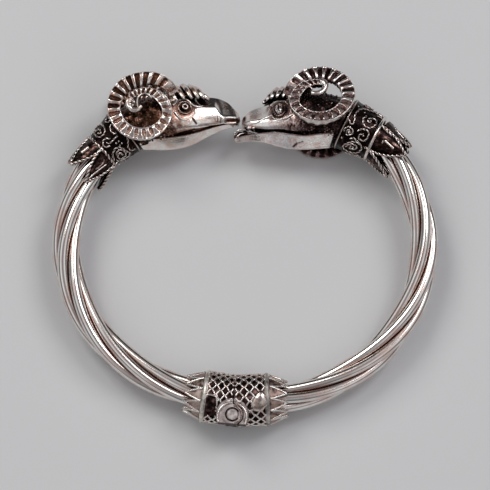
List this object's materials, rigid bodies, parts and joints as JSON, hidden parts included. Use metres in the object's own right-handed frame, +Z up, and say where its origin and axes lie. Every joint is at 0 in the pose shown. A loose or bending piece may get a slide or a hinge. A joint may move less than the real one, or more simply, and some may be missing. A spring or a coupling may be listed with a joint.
{
  "type": "hinged bangle with ram's-head ends",
  "caption": "Oval bangle in oxidised silver: halves of twisted wire on a lattice-covered hinge, ending in facing rams' heads with coiled, ridged horns.",
  "frame": {"origin": "on the surface that the bangle lies on, under the middle of its bounding box", "axes": "+X toward the half that the hinge turns, +Y from the hinge toward the heads, +Z up from the surface"},
  "size_m": [0.0694, 0.0654, 0.0145],
  "materials": {
    "polished_silver": "polished",
    "head_silver": "worn polish over dark recesses",
    "oxidised_silver": "oxidised, bright on raised wire",
    "pin_silver": "dull"
  },
  "bodies": {
    "left_half": {"left_head": "head_silver", "left_collar": "oxidised_silver", "left_hinge_barrel": "oxidised_silver", "hinge_pin": "pin_silver", "left_strand_1": "polished_silver", "left_strand_2": "polished_silver", "left_strand_3": "polished_silver", "left_strand_4": "polished_silver", "left_strand_5": "polished_silver"},
    "right_half": {"right_head": "head_silver", "right_collar": "oxidised_silver", "right_hinge_barrel": "oxidised_silver", "right_strand_1": "polished_silver", "right_strand_2": "polished_silver", "right_strand_3": "polished_silver", "right_strand_4": "polished_silver", "right_strand_5": "polished_silver"}
  },
  "joints": [
    {"name": "hinge", "type": "hinge", "parent": "left_half", "child": "right_half", "pos_m": [-0.00226, -0.03073, 0.00466], "axis": [0, 0.0419, -0.9991], "range_deg": [0, 60]}
  ]
}
